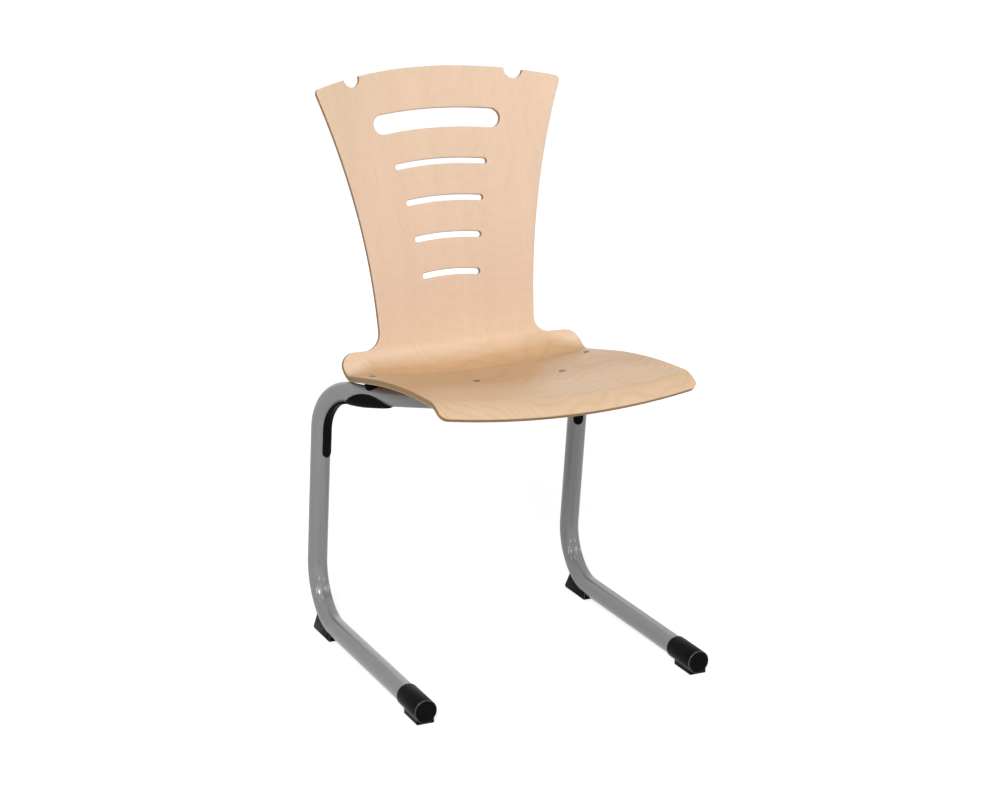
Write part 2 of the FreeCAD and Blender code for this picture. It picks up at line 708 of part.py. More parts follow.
def edges_along(feature, way):
    """Names of the straight edges that run one way."""
    return ["Edge%d" % n for n, edge in enumerate(feature.Shape.Edges, start=1)
            if abs(edge.tangentAt(edge.FirstParameter) * way) > 1 - TOUCH]


# Front caps: sleeve with a closed round end and a flat base block
def cap_body(label):
    body = new_body(label)
    front, mouth = size("cap_front_y"), size("cap_front_y") + size("cap_length")
    rim, taper, edge = TUBE_R + size("cap_wall"), size("cap_mouth_taper"), size("cap_edge_round")
    base = new_sketch(body, label + "_base", "XY_Plane", base=(0, 0, -RUNNER_Z))
    base.setExpression("AttachmentOffset.Base.z", "-sizes.runner_lift - sizes.tube_diameter / 2")
    half, near = size("cap_base_width") / 2, front + size("cap_base_inset")
    far = near + size("cap_base_length")
    corners = [V(-half, near, 0), V(half, near, 0), V(half, far, 0), V(-half, far, 0)]
    draw_loop(base, corners, [None] * 4)
    join(base, 4, smooth=())
    relate(base, "Horizontal", 2)
    for line in (1, 3):
        relate(base, "Vertical", line)
    relate(base, "Symmetric", 0, START, 0, END, UPRIGHT)
    drive(base, "DistanceX", (0, START, 0, END), "sizes.cap_base_width")
    drive(base, "DistanceY", (1, START, 1, END), "sizes.cap_base_length")
    drive(base, "DistanceY", (0, START, *ORIGIN), "-sizes.cap_front_y - sizes.cap_base_inset")
    block = body.newObject("PartDesign::Pad", label + "_block")
    block.Profile = base
    block.setExpression("Length", "sizes.runner_lift + sizes.tube_diameter / 2")
    block.recompute(True)
    soft = body.newObject("PartDesign::Fillet", label + "_soft_block")
    soft.Base = (block, edges_along(block, V(0, 0, 1)))
    soft.setExpression("Radius", "sizes.base_corner_round")
    outer = new_sketch(body, label + "_outer", "YZ_Plane")
    edge_centre = V(front + edge, rim - edge, 0)
    points = [V(front, 0, 0), V(front, rim - edge, 0), V(front + edge, rim, 0),
              V(mouth - taper, rim, 0), V(mouth, rim - taper, 0), V(mouth, 0, 0)]
    draw_loop(outer, points, [None, edge_centre, None, None, None, None])
    join(outer, 6, smooth=(0, 1))
    for line in (0, 4):
        relate(outer, "Vertical", line)
    relate(outer, "Horizontal", 5)
    relate(outer, "PointOnObject", 0, START, ACROSS)
    relate(outer, "Horizontal", 2)
    drive(outer, "Radius", (1,), "sizes.cap_edge_round")
    drive(outer, "DistanceX", (0, START, *ORIGIN), "-sizes.cap_front_y")
    drive(outer, "DistanceX", (0, START, 4, END), "sizes.cap_length")
    drive(outer, "DistanceY", (*ORIGIN, 2, START), "sizes.tube_diameter / 2 + sizes.cap_wall")
    drive(outer, "DistanceY", (4, START, 3, START), "sizes.cap_mouth_taper")
    drive(outer, "DistanceX", (3, START, 3, END), "sizes.cap_mouth_taper")
    sleeve = body.newObject("PartDesign::Revolution", label + "_sleeve")
    sleeve.Profile = outer
    sleeve.ReferenceAxis = (outer, ["H_Axis"])
    inner = new_sketch(body, label + "_inner", "YZ_Plane")
    floor, wide = front + size("cap_end_wall"), TUBE_R + size("slip_gap")
    room = mouth + size("overrun")
    draw_loop(inner, [V(floor, 0, 0), V(room, 0, 0), V(room, wide, 0), V(floor, wide, 0)], [None] * 4)
    join(inner, 4, smooth=())
    for line in (0, 2):
        relate(inner, "Horizontal", line)
    for line in (1, 3):
        relate(inner, "Vertical", line)
    relate(inner, "PointOnObject", 0, START, ACROSS)
    drive(inner, "DistanceX", (0, START, *ORIGIN), "-sizes.cap_front_y - sizes.cap_end_wall")
    drive(inner, "DistanceY", (1, START, 1, END), "sizes.tube_diameter / 2 + sizes.slip_gap")
    drive(inner, "DistanceX", (0, START, 0, END), "sizes.cap_length - sizes.cap_end_wall + sizes.overrun")
    bore = body.newObject("PartDesign::Groove", label + "_bore")
    bore.Profile = inner
    bore.ReferenceAxis = (inner, ["H_Axis"])
    return body


# Rear feet: blocks under the lower bends, saddled to the tube
FOOT_HEEL = V(size("foot_rear_y"), -RUNNER_Z, 0)
FOOT_TOP = on_circle(V(LOW_CENTRES[1].y, BEND, 0), BEND, FOOT_HEEL)
record("foot_top_y", FOOT_TOP.x)
record("foot_top_z", FOOT_TOP.y)


def foot_body(label):
    body = new_body(label)
    sketch = new_sketch(body, label + "_side", "YZ_Plane")
    front = size("foot_front_y")
    points = [V(front, -RUNNER_Z, 0), FOOT_HEEL, FOOT_TOP, V(front, 0, 0)]
    draw_loop(sketch, points, [None] * 4)
    join(sketch, 4, smooth=())
    relate(sketch, "Horizontal", 0)
    relate(sketch, "Vertical", 3)
    relate(sketch, "PointOnObject", 3, START, ACROSS)
    drive(sketch, "DistanceX", (*ORIGIN, 0, START), "sizes.foot_front_y")
    drive(sketch, "DistanceX", (0, START, 0, END), "sizes.foot_rear_y - sizes.foot_front_y")
    drive(sketch, "DistanceY", (3, END, *ORIGIN), "sizes.runner_lift + sizes.tube_diameter / 2")
    drive(sketch, "DistanceX", (*ORIGIN, 2, START), "sizes.foot_top_y")
    drive(sketch, "DistanceY", (*ORIGIN, 2, START), "sizes.foot_top_z")
    pad = body.newObject("PartDesign::Pad", label + "_pad")
    pad.Profile = sketch
    pad.SideType = "Symmetric"
    pad.setExpression("Length", "sizes.foot_width")
    pad.recompute(True)
    floor_edges = [name for name in edges_along(pad, V(1, 0, 0))
                   if abs(pad.Shape.getElement(name).CenterOfMass.z + RUNNER_Z) < TOUCH]
    soft = body.newObject("PartDesign::Fillet", label + "_soft")
    soft.Base = (pad, floor_edges)
    soft.setExpression("Radius", "sizes.foot_corner_round")
    return body


# Guards: pieces of a sleeve about the tube, cut out by flat regions
def plane_frame(origin, across, up):
    """Placement with local x along across and local y along up."""
    out = across.cross(up)
    matrix = FreeCAD.Matrix(across.x, up.x, out.x, origin.x, across.y, up.y, out.y, origin.y,
                            across.z, up.z, out.z, origin.z, 0, 0, 0, 1)
    return FreeCAD.Placement(matrix)


def slab(name, placement, edges, thickness):
    """Flat region of lines and arcs, thickened evenly about its plane."""
    face = Part.Face(Part.Wire([e.toShape() for e in edges]))
    item = holder(name, face.extrude(V(0, 0, thickness)))
    item.Placement = shifted(placement, -thickness / 2)
    return item


def guard_regions(side_name, side):
    """Region of the strip in the plane of the upper bend, and of the leaf under the rail."""
    heel, shoulder, knee = frame_corners(side)[1:4]
    first, middle, last = corner_arc(heel, shoulder, knee, BEND)
    hub = bend_centre(heel, shoulder, knee, BEND)
    down = (first - shoulder).normalize()
    inward = (hub - first).normalize()
    frame = plane_frame(hub, inward, down * -1)
    turn = math.pi - (heel - shoulder).getAngle(knee - shoulder)
    inner, outer, width = BEND - TUBE_R - size("overrun") / 2, BEND, size("guard_width")
    drop = V(0, width / 2 - size("guard_drop"), 0)
    ray = [V(-math.cos(a), math.sin(a), 0) for a in (0, turn / 2, turn)]
    band = [
        Part.LineSegment(ray[0] * outer + drop, ray[0] * outer),
        Part.Arc(ray[0] * outer, ray[1] * outer, ray[2] * outer),
        Part.LineSegment(ray[2] * outer, ray[2] * inner),
        Part.Arc(ray[2] * inner, ray[1] * inner, ray[0] * inner),
        Part.LineSegment(ray[0] * inner, ray[0] * inner + drop),
        Part.LineSegment(ray[0] * inner + drop, ray[0] * outer + drop),
    ]
    strip = slab("strip_region_" + side_name, frame, band, width)
    end_point = first + down * (size("guard_drop") - width / 2)
    round_end = primitive("Cylinder", "strip_end_" + side_name, upright_placement(end_point, inward),
                          Radius="sizes.guard_width / 2", Height="sizes.overrun")
    spot = knee + RAIL[side] * (size("rail_corner_reach") - size("saddle_shift"))
    half, bulge = size("saddle_length") / 2, TUBE_R + size("guard_thickness")
    leaf = slab("leaf_region_" + side_name, plane_frame(spot, RAIL[side] * -1, RAIL_UP[side]), [
        Part.Arc(V(-half, -TUBE_R, 0), V(0, size("saddle_rise"), 0), V(half, -TUBE_R, 0)),
        Part.Arc(V(half, -TUBE_R, 0), V(0, -bulge, 0), V(-half, -TUBE_R, 0)),
    ], 2 * size("overrun"))
    return strip, round_end, leaf, end_point, inward, spot


guard_sleeve = cut("guard_sleeve", guard_outside, tube_envelope)


def peg(name, placement, length_formula, holes):
    """Moulded peg and the hole it takes in the tube."""
    holes.append(primitive("Cylinder", name + "_hole", placement,
                           Radius="sizes.peg_diameter / 2 + sizes.slip_gap", Height=length_formula))
    return primitive("Cylinder", name, placement, Radius="sizes.peg_diameter / 2", Height=length_formula)


for side_name, side in SIDES:
    at_runner = FreeCAD.Placement(V(side * RUNNER_X, 0, RUNNER_Z), FreeCAD.Rotation())
    cap = cap_body("front_cap_" + side_name)
    cap.Placement = at_runner
    leaves.append(cap)
    block = foot_body("foot_block_" + side_name)
    block.Placement = at_runner
    spoke = polar(-deg("foot_peg_angle"))
    depth = BEND + TUBE_R + size("guard_thickness")
    entry = upright_placement(LOW_CENTRES[side] + spoke * depth, spoke * -1)
    reach = "sizes.guard_thickness + sizes.peg_reach"
    foot_peg = peg("foot_peg_" + side_name, entry, reach, peg_holes)
    saddled = cut("foot_saddle_" + side_name, block, tube_envelope)
    leaves.append(fuse("rear_foot_" + side_name, saddled, foot_peg))
    strip, round_end, leaf, end_point, inward, spot = guard_regions(side_name, side)
    region = fuse("guard_region_" + side_name, strip, round_end, leaf)
    outer = size("guard_thickness") / 2 + TUBE_R
    low_peg = peg("guard_peg_low_" + side_name, upright_placement(end_point + inward * outer, inward * -1),
                  reach, peg_holes)
    leaf_peg = peg("guard_peg_rail_" + side_name,
                   upright_placement(spot - RAIL_UP[side] * outer, RAIL_UP[side]), reach, peg_holes)
    leaves.append(fuse("hang_guard_" + side_name, common("guard_wrap_" + side_name, guard_sleeve, region),
                       low_peg, leaf_peg))

dented = cut("dented_tube", tube_outside, *dents)
hollow = cut("dented_bore", tube_bore, *dent_walls)
frame_tube = cut("frame_tube", dented, hollow, *nut_holes, *peg_holes)
leaves.append(frame_tube)

doc.recompute()

# Every object must hold before any file is written
for item in doc.Objects:
    if "Invalid" in item.State or "Error" in item.State:
        raise RuntimeError("object does not hold: %s" % item.Name)
pieces = [shell] + leaves
for piece in pieces:
    piece.Label = piece.Name
    if piece.Shape.isNull() or not piece.Shape.isValid() or len(piece.Shape.Solids) != 1:
        raise RuntimeError("piece is not one valid solid: %s" % piece.Name)

os.makedirs("parts", exist_ok=True)
for piece in pieces:
    piece.Shape.exportStep("parts/%s.step" % piece.Label)
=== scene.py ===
import math

import bmesh
import bpy
import numpy as np
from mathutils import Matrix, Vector
from mathutils.geometry import delaunay_2d_cdt


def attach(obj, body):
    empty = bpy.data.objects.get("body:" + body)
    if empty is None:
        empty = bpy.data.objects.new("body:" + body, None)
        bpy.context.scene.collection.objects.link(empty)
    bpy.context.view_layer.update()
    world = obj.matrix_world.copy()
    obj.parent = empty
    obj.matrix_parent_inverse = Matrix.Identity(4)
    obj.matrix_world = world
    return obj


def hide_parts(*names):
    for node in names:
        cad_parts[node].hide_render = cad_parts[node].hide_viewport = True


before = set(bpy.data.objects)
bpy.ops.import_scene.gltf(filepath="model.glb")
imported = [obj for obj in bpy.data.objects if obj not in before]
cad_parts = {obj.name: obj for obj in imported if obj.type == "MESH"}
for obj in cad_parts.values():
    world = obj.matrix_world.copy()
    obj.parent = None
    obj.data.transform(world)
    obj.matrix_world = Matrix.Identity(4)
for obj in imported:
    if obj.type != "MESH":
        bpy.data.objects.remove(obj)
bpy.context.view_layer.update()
MM = 0.001
EPS = 1e-9

# Sizes of the chair, in millimetres and radians. They are the solids' own sizes, but the crown,
# width and softness of the dents' floor and the rounding of the shell's edges are this scene's.
# Frame
TUBE_R = 16.0
RUNNER_X, RUNNER_Z = 228.5, 20.2
TUBE_FRONT_Y, HEEL_Y = -247.0, 214.0
BEND_R, RAIL_BEND_R = 84.0, 110.0
LEAN = math.radians(7.6)
RAIL_Z, RAIL_FRONT_Z = 416.2, 433.3
REAR_SCREW, FRONT_SCREW = (185.6, 56.5), (72.3, -84.1)
RAIL_CORNER_REACH = 20.0
DENT_DEPTH, DENT_CROWN = 5.5, 2.2
DENT_MIDDLE, DENT_HALF = math.radians(-38.0), math.radians(31.0)
DENT_HALF_WIDTH = 9.0
DENT_SOFTNESS = 0.3
DENT_MARGIN = 8.0

# Shell: profile in (y, z), from the lip over the seat and through the crotch up the back
SHELL_T = 10.3
EDGE_ROUND = 1.7
HALF_W = 207.2
CROTCH, CROTCH_R = (147.8, 418.8), 50.3
SEAT_SLOPE, SEAT_FLAT = math.radians(11.1), 144.2
CROWN_R, CROWN_END = 1412.0, math.radians(1.5)
LIP_R, LIP_END = 60.8, math.radians(47.0)
BACK_LEAN, BACK_R = math.radians(8.9), 2240.0
# The profile goes on past the lip and the crest, so that the outline always finds it
LIP_SPARE, CREST_SPARE = math.radians(12.0), 40.0
# Sideways curvature of the sheet at the named places
DISH = {"lip": 1 / 7600.0, "crown": 1 / 1750.0, "seat": 1 / 1550.0, "waist": 1 / 813.0, "top": 1 / 511.0}

# Outline of the front, in (x, w) of the lip's own plane
FRONT_R, FRONT_CORNER_R = 1270.0, 13.7
# Outline of the back, in (x, v) of a plane that leans back from the crotch
PLANE_LEAN = math.radians(14.0)
EAR_R, EAR_V = 24.3, 44.8
WAIST_R = 25.9
FLANK_R, FLANK_X, FLANK_V = 1177.0, 134.2, 36.1
TOP_CORNER_R = 7.6
CREST_R, CREST_V = 689.0, 487.0
NOTCH_R, NOTCH_X = 15.0, 140.0
BACK_REACH = CREST_V + CREST_SPARE
# Slots of the back as (height v, length, width, radius of the arch), the grip slot first
SLOTS = [(403.6, 218.5, 31.5, 650.0), (334.0, 159.0, 9.2, 514.0), (274.8, 133.8, 9.2, 449.0),
         (215.6, 115.6, 9.2, 415.0), (156.4, 100.2, 9.2, 325.0)]
NARROW_SLOT = 20.0

# Fineness of the meshes: steps in millimetres, and counts
# Points along the outline
ARC_STEP, LONG_ARC_STEP, CREST_STEP, CORNER_STEP = 2.0, 5.0, 4.0, 1.5
RUN_STEP, NARROW_SLOT_STEP = 4.0, 1.0
SIDE_COUNT = 90
BISECTIONS = 50
# Rows of faces round each edge of the sheet, and the points of its two faces
ROUND_STEPS = 4
GRID_ACROSS, GRID_ALONG, GRID_ALONG_TIGHT = 6.8, 7.0, 3.0
GRID_SIDE, GRID_FIRST, GRID_CLEAR = 204, 2, 3.0
# Lengths of the profile where the sheet bends tightly: the crotch, and the lip from its tip
CROTCH_SPAN, LIP_SPAN = (-20, 110), 60
# Rings of the tube
BEND_STEP, STRAIGHT_STEP, LAST_RUN_RINGS = 1.8, 7.2, 16
TUBE_SEGMENTS = 64


# Moulded sheet: a profile of tangent arcs, dished sideways
def polar(angle):
    return np.stack([np.cos(angle), np.sin(angle)], -1)


def profile_pieces():
    """Runs of the profile as (start s, length, turn, start slope, start point, dish at both ends)."""
    crotch_turn = SEAT_SLOPE + math.pi / 2 - BACK_LEAN
    reach = CROTCH_R * math.tan(crotch_turn / 2)
    start = np.array(CROTCH) - polar(-SEAT_SLOPE) * reach
    crown_turn, lip_turn = SEAT_SLOPE - CROWN_END, LIP_END + CROWN_END
    back_length = BACK_REACH - reach
    forwards = [(SEAT_FLAT - reach, 0.0, "seat", "seat"),
                (CROWN_R * crown_turn, crown_turn, "seat", "crown"),
                (LIP_R * lip_turn, lip_turn, "crown", "lip"),
                (LIP_R * LIP_SPARE, LIP_SPARE, "lip", "lip")]
    backwards = [(CROTCH_R * crotch_turn, crotch_turn, "seat", "waist"),
                 (back_length, -back_length / BACK_R, "waist", "top")]
    found = []
    point, slope, s = start, -SEAT_SLOPE, 0.0
    for length, turn, a, b in forwards:
        chord = length if not turn else 2 * length / turn * math.sin(turn / 2)
        end = point - polar(slope + turn / 2) * chord
        found.insert(0, (s - length, length, -turn, slope + turn, end, DISH[b], DISH[a]))
        point, slope, s = end, slope + turn, s - length
    point, slope, s = start, -SEAT_SLOPE, 0.0
    for length, turn, a, b in backwards:
        chord = 2 * length / turn * math.sin(turn / 2)
        found.append((s, length, turn, slope, point, DISH[a], DISH[b]))
        point, slope, s = point + polar(slope + turn / 2) * chord, slope + turn, s + length
    return found


PIECES = profile_pieces()
S_MIN, S_MAX = PIECES[0][0], PIECES[-1][0] + PIECES[-1][1]
S_TIP = PIECES[1][0]


def profile(s):
    """Point (y, z), slope and dish at the profile lengths s."""
    s = np.clip(np.asarray(s, float), S_MIN, S_MAX)
    point = np.zeros(s.shape + (2,))
    slope, dish = np.zeros(s.shape), np.zeros(s.shape)
    for start, length, turn, first, origin, dish_a, dish_b in PIECES:
        here = (s >= start - EPS) & (s <= start + length + EPS)
        t = (s[here] - start) / length
        bend = turn * t
        chord = length * t * np.sinc(bend / 2 / math.pi)
        point[here] = origin + polar(first + bend / 2) * chord[:, None]
        slope[here] = first + bend
        dish[here] = dish_a + (dish_b - dish_a) * t
    return point, slope, dish


def sheet_point(x, s, depth):
    """Place on the sheet: across x, along s, depth below the sitting face. In millimetres."""
    x, s, depth = np.broadcast_arrays(np.asarray(x, float), s, depth)
    point, slope, dish = profile(s)
    radius = 1 / dish
    rise = radius - np.sqrt((radius + depth) ** 2 - x ** 2)
    yz = point + polar(slope + math.pi / 2) * rise[..., None]
    return np.stack([x, yz[..., 0], yz[..., 1]], -1)


def find_s(x, height, origin, along, depth, lo, hi):
    """Profile length where the sheet at x, depth lies at a height along a direction of the YZ plane."""
    x = np.asarray(x, float)
    height = np.broadcast_to(height, x.shape)
    lo, hi = np.full(x.shape, float(lo)), np.full(x.shape, float(hi))
    for _ in range(BISECTIONS):
        mid = (lo + hi) / 2
        low = (sheet_point(x, mid, depth)[..., 1:] - origin) @ along < height
        lo, hi = np.where(low, mid, lo), np.where(low, hi, mid)
    return (lo + hi) / 2


# Outline of the sheet
def arc(centre, radius, a0, a1, step=ARC_STEP):
    """Points of an arc, both ends included, angles in radians."""
    count = max(2, int(math.ceil(abs(a1 - a0) * radius / step)))
    a = np.linspace(a0, a1, count + 1)
    return np.stack([centre[0] + radius * np.cos(a), centre[1] + radius * np.sin(a)], -1)


def run(p, q):
    """Points of a straight line, both ends included."""
    count = max(1, int(math.ceil(math.dist(p, q) / RUN_STEP)))
    t = np.linspace(0, 1, count + 1)[:, None]
    return np.asarray(p) * (1 - t) + np.asarray(q) * t


def angle_of(centre, point):
    return math.atan2(point[1] - centre[1], point[0] - centre[0])


def upper_meeting(centre_a, radius_a, centre_b, radius_b):
    """The higher of the two points where circles cross."""
    step = centre_b - centre_a
    apart = np.linalg.norm(step)
    step /= apart
    along = (radius_a * radius_a - radius_b * radius_b + apart * apart) / (2 * apart)
    off = math.sqrt(radius_a * radius_a - along * along) * np.array([-step[1], step[0]])
    return max((centre_a + step * along + off * way for way in (1, -1)), key=lambda p: p[1])


def back_edge():
    """Right half of the outline of the back, from the ear's side up to the middle of the crest, in (x, v)."""
    ear = np.array([HALF_W - EAR_R, EAR_V - EAR_R])
    flank = np.array([FLANK_X + FLANK_R, FLANK_V])
    waist_v = EAR_V + WAIST_R
    waist_off = math.sqrt((FLANK_R - WAIST_R) ** 2 - (waist_v - FLANK_V) ** 2)
    waist = np.array([flank[0] - waist_off, waist_v])
    crest = np.array([0.0, CREST_V - CREST_R])
    corner = upper_meeting(flank, FLANK_R + TOP_CORNER_R, crest, CREST_R - TOP_CORNER_R)
    notch = np.array([NOTCH_X, crest[1] + math.sqrt(CREST_R ** 2 - NOTCH_X ** 2)])
    middle, half = math.asin(NOTCH_X / CREST_R), 2 * math.asin(NOTCH_R / (2 * CREST_R))
    outer, inner = math.pi / 2 - (middle + half), math.pi / 2 - (middle - half)
    notch_start, notch_end = (angle_of(notch, crest + CREST_R * polar(a)) for a in (outer, inner))
    if notch_end > notch_start:
        notch_end -= 2 * math.pi
    flank_low, flank_high = angle_of(flank, waist), angle_of(flank, corner)
    crest_start = angle_of(crest, corner)
    return [
        arc(ear, EAR_R, 0, math.pi / 2),
        run((ear[0], EAR_V), (waist[0], EAR_V)),
        arc(waist, WAIST_R, -math.pi / 2, flank_low - 2 * math.pi),
        arc(flank, FLANK_R, flank_low, flank_high, LONG_ARC_STEP),
        arc(corner, TOP_CORNER_R, flank_high - math.pi, crest_start, CORNER_STEP),
        arc(crest, CREST_R, crest_start, outer, CREST_STEP),
        arc(notch, NOTCH_R, notch_start, notch_end),
        arc(crest, CREST_R, inner, math.pi / 2, LONG_ARC_STEP),
    ]


def front_edge():
    """Right half of the front outline in (x, w) of the lip's plane, from the middle to the side."""
    corner_x = HALF_W - FRONT_CORNER_R
    corner = (corner_x, FRONT_R - math.sqrt((FRONT_R - FRONT_CORNER_R) ** 2 - corner_x ** 2))
    tangent = angle_of((0, FRONT_R), corner)
    return [arc((0, FRONT_R), FRONT_R, -math.pi / 2, tangent, LONG_ARC_STEP),
            arc(corner, FRONT_CORNER_R, tangent, 0)]


def slot_edge(height, length, width, arch):
    """Closed outline of an arched slot with round ends."""
    centre, half = np.array([0.0, height - arch]), width / 2
    lean = math.asin((length / 2 - half) / arch)
    right, left = math.pi / 2 - lean, math.pi / 2 + lean
    end_right, end_left = (centre + arch * polar(a) for a in (right, left))
    step = NARROW_SLOT_STEP if width < NARROW_SLOT else ARC_STEP
    pieces = [arc(centre, arch - half, left, right, LONG_ARC_STEP),
              arc(end_right, half, right - math.pi, right, step),
              arc(centre, arch + half, right, left, LONG_ARC_STEP),
              arc(end_left, half, left, left + math.pi, step)]
    return np.concatenate([p[:-1] for p in pieces])[::-1]


BACK_ALONG = np.array([math.sin(PLANE_LEAN), math.cos(PLANE_LEAN)])
LIP_ALONG = polar(LIP_END)
LIP_POINT = profile(np.array([S_TIP]))[0][0]


def outlines(depth):
    """Closed loops (x, s) of the sheet's outline and slots at a depth below the sitting face."""
    front = np.concatenate([p[:-1] if i == 0 else p for i, p in enumerate(front_edge())])
    back = np.concatenate([p[1:] if i else p for i, p in enumerate(back_edge())])
    s_front = find_s(front[:, 0], front[:, 1], LIP_POINT, LIP_ALONG, depth, S_MIN, 0)
    s_back = find_s(back[:, 0], back[:, 1], CROTCH, BACK_ALONG, depth, 0, S_MAX)
    t = np.linspace(0, 1, SIDE_COUNT + 1)[1:-1]
    s_side = s_front[-1] + (s_back[0] - s_front[-1]) * t
    right = np.concatenate([np.stack([front[:, 0], s_front], -1),
                            np.stack([np.full(len(t), HALF_W), s_side], -1),
                            np.stack([back[:, 0], s_back], -1)])
    left = right[-2:0:-1] * np.array([-1, 1])
    loops = [np.concatenate([right, left])]
    for slot in SLOTS:
        edge = slot_edge(*slot)
        s = find_s(edge[:, 0], edge[:, 1], CROTCH, BACK_ALONG, depth, 0, S_MAX)
        loops.append(np.stack([edge[:, 0], s], -1))
    return loops


def inset(loop, amount):
    """The loop moved into the material, which lies on its left."""
    ahead, behind = np.roll(loop, -1, 0) - loop, loop - np.roll(loop, 1, 0)
    ahead /= np.linalg.norm(ahead, axis=1)[:, None]
    behind /= np.linalg.norm(behind, axis=1)[:, None]
    way = ahead + behind
    way /= np.linalg.norm(way, axis=1)[:, None]
    return loop + np.stack([-way[:, 1], way[:, 0]], -1) * amount


def inside(points, loops):
    """Even-odd test of points against all the loops."""
    result = np.zeros(len(points), bool)
    for loop in loops:
        a, b = loop, np.roll(loop, -1, 0)
        x, y = points[:, :1], points[:, 1:]
        crosses = (a[:, 1] > y) != (b[:, 1] > y)
        rise = np.where(np.abs(b[:, 1] - a[:, 1]) < EPS, 1, b[:, 1] - a[:, 1])
        at = a[:, 0] + (y - a[:, 1]) * (b[:, 0] - a[:, 0]) / rise
        result ^= (np.sum(crosses & (x < at), axis=1) % 2).astype(bool)
    return result


# Meshes
def place_in_scene(name, data, place=(0, 0, 0)):
    obj = bpy.data.objects.new(name, data)
    obj.location = place
    bpy.context.scene.collection.objects.link(obj)
    return obj


def new_piece(name, verts, faces, materials, face_slots=None, uvs=None):
    """Smooth mesh object in metres from places in millimetres."""
    mesh = bpy.data.meshes.new(name)
    places = (np.asarray(verts, float) * MM).tolist()
    mesh.from_pydata(places, [], [tuple(int(i) for i in face) for face in faces])
    for material in materials:
        mesh.materials.append(material)
    if face_slots is not None:
        mesh.polygons.foreach_set("material_index", np.asarray(face_slots, np.int32))
    if uvs is not None:
        layer = mesh.uv_layers.new(name="UVMap")
        layer.data.foreach_set("uv", np.asarray(uvs, np.float32).ravel())
    mesh.polygons.foreach_set("use_smooth", [True] * len(mesh.polygons))
    mesh.update()
    return place_in_scene(name, mesh)


def clear_of(points, others):
    """Which points lie clear of all the others. They are tested in parts to save memory."""
    clear = np.ones(len(points), bool)
    count = 500
    for start in range(0, len(points), count):
        part = points[start:start + count]
        gap = np.min(np.linalg.norm(part[:, None] - others[None], axis=2), axis=1)
        clear[start:start + count] = gap > GRID_CLEAR
    return clear


def triangulate(loops, grid):
    """Triangles of the region inside the loops, with the grid points kept clear of its edge."""
    loop_points = np.concatenate(loops)
    grid = grid[inside(grid, loops)]
    grid = grid[clear_of(grid, loop_points)]
    edges, base = [], 0
    for loop in loops:
        count = len(loop)
        edges += [(base + i, base + (i + 1) % count) for i in range(count)]
        base += count
    points = np.concatenate([loop_points, grid])
    out = delaunay_2d_cdt([Vector(p) for p in points.tolist()], edges, [], 0, 1e-7, True)
    verts, faces, origin = out[0], out[2], out[3]
    index = np.array([o[0] if len(o) else -1 for o in origin])
    if len(verts) != len(points) or (index < 0).any():
        raise RuntimeError("the outline crosses itself")
    triangles = index[np.array(faces)]
    triangles = triangles[inside(points[triangles].mean(axis=1), loops)]
    a, b, c = (points[triangles[:, i]] for i in range(3))
    turn = (b[:, 0] - a[:, 0]) * (c[:, 1] - a[:, 1]) - (b[:, 1] - a[:, 1]) * (c[:, 0] - a[:, 0])
    triangles[turn < 0] = triangles[turn < 0][:, ::-1]
    return points, triangles


def sheet_grid():
    """Points (x, s) for the faces of the sheet, closer together where it bends tightly."""
    stops, s = [], S_TIP + GRID_FIRST
    while s < S_MAX:
        stops.append(s)
        tight = CROTCH_SPAN[0] < s < CROTCH_SPAN[1] or s < S_TIP + LIP_SPAN
        s += GRID_ALONG_TIGHT if tight else GRID_ALONG
    x, s = np.meshgrid(np.arange(-GRID_SIDE, GRID_SIDE + 1, GRID_ACROSS), stops)
    return np.stack([x.ravel(), s.ravel()], -1)


def wall_rows():
    """Rows of the sheet's wall from the sitting face to the underside, as (inset, depth)."""
    turns = np.linspace(0, math.pi / 2, ROUND_STEPS + 1)
    rounded = [(EDGE_ROUND * (1 - math.sin(a)), EDGE_ROUND * (1 - math.cos(a))) for a in turns]
    middle = [(0.0, depth) for depth in np.linspace(EDGE_ROUND, SHELL_T - EDGE_ROUND, 4)[1:-1]]
    return rounded + middle + [(amount, SHELL_T - depth) for amount, depth in rounded[::-1]]


def wall_faces(rows, loops, flat):
    """Quads of the wall with their slots and UVs: veneer (0) on the rounded rims, edge (1) between them."""
    faces, slots, uvs = [], [], []
    row_size, offset = sum(len(loop) for loop in loops), 0
    for loop in loops:
        count = len(loop)
        gaps = np.linalg.norm(np.roll(loop, -1, 0) - loop, axis=1)
        lengths = np.concatenate([[0], np.cumsum(gaps)]) * MM
        for r in range(len(rows) - 1):
            a0, b0 = r * row_size + offset, (r + 1) * row_size + offset
            d0, d1 = rows[r][1] * MM, rows[r + 1][1] * MM
            rim = r < ROUND_STEPS or r >= len(rows) - 1 - ROUND_STEPS
            for i in range(count):
                j = (i + 1) % count
                quad = (a0 + i, b0 + i, b0 + j, a0 + j)
                l0, l1 = lengths[i], lengths[i + 1]
                faces.append(quad)
                slots.append(0 if rim else 1)
                uvs += [tuple(flat[k]) for k in quad] if rim else [(l0, d0), (l0, d1), (l1, d1), (l1, d0)]
        offset += count
    return faces, slots, uvs


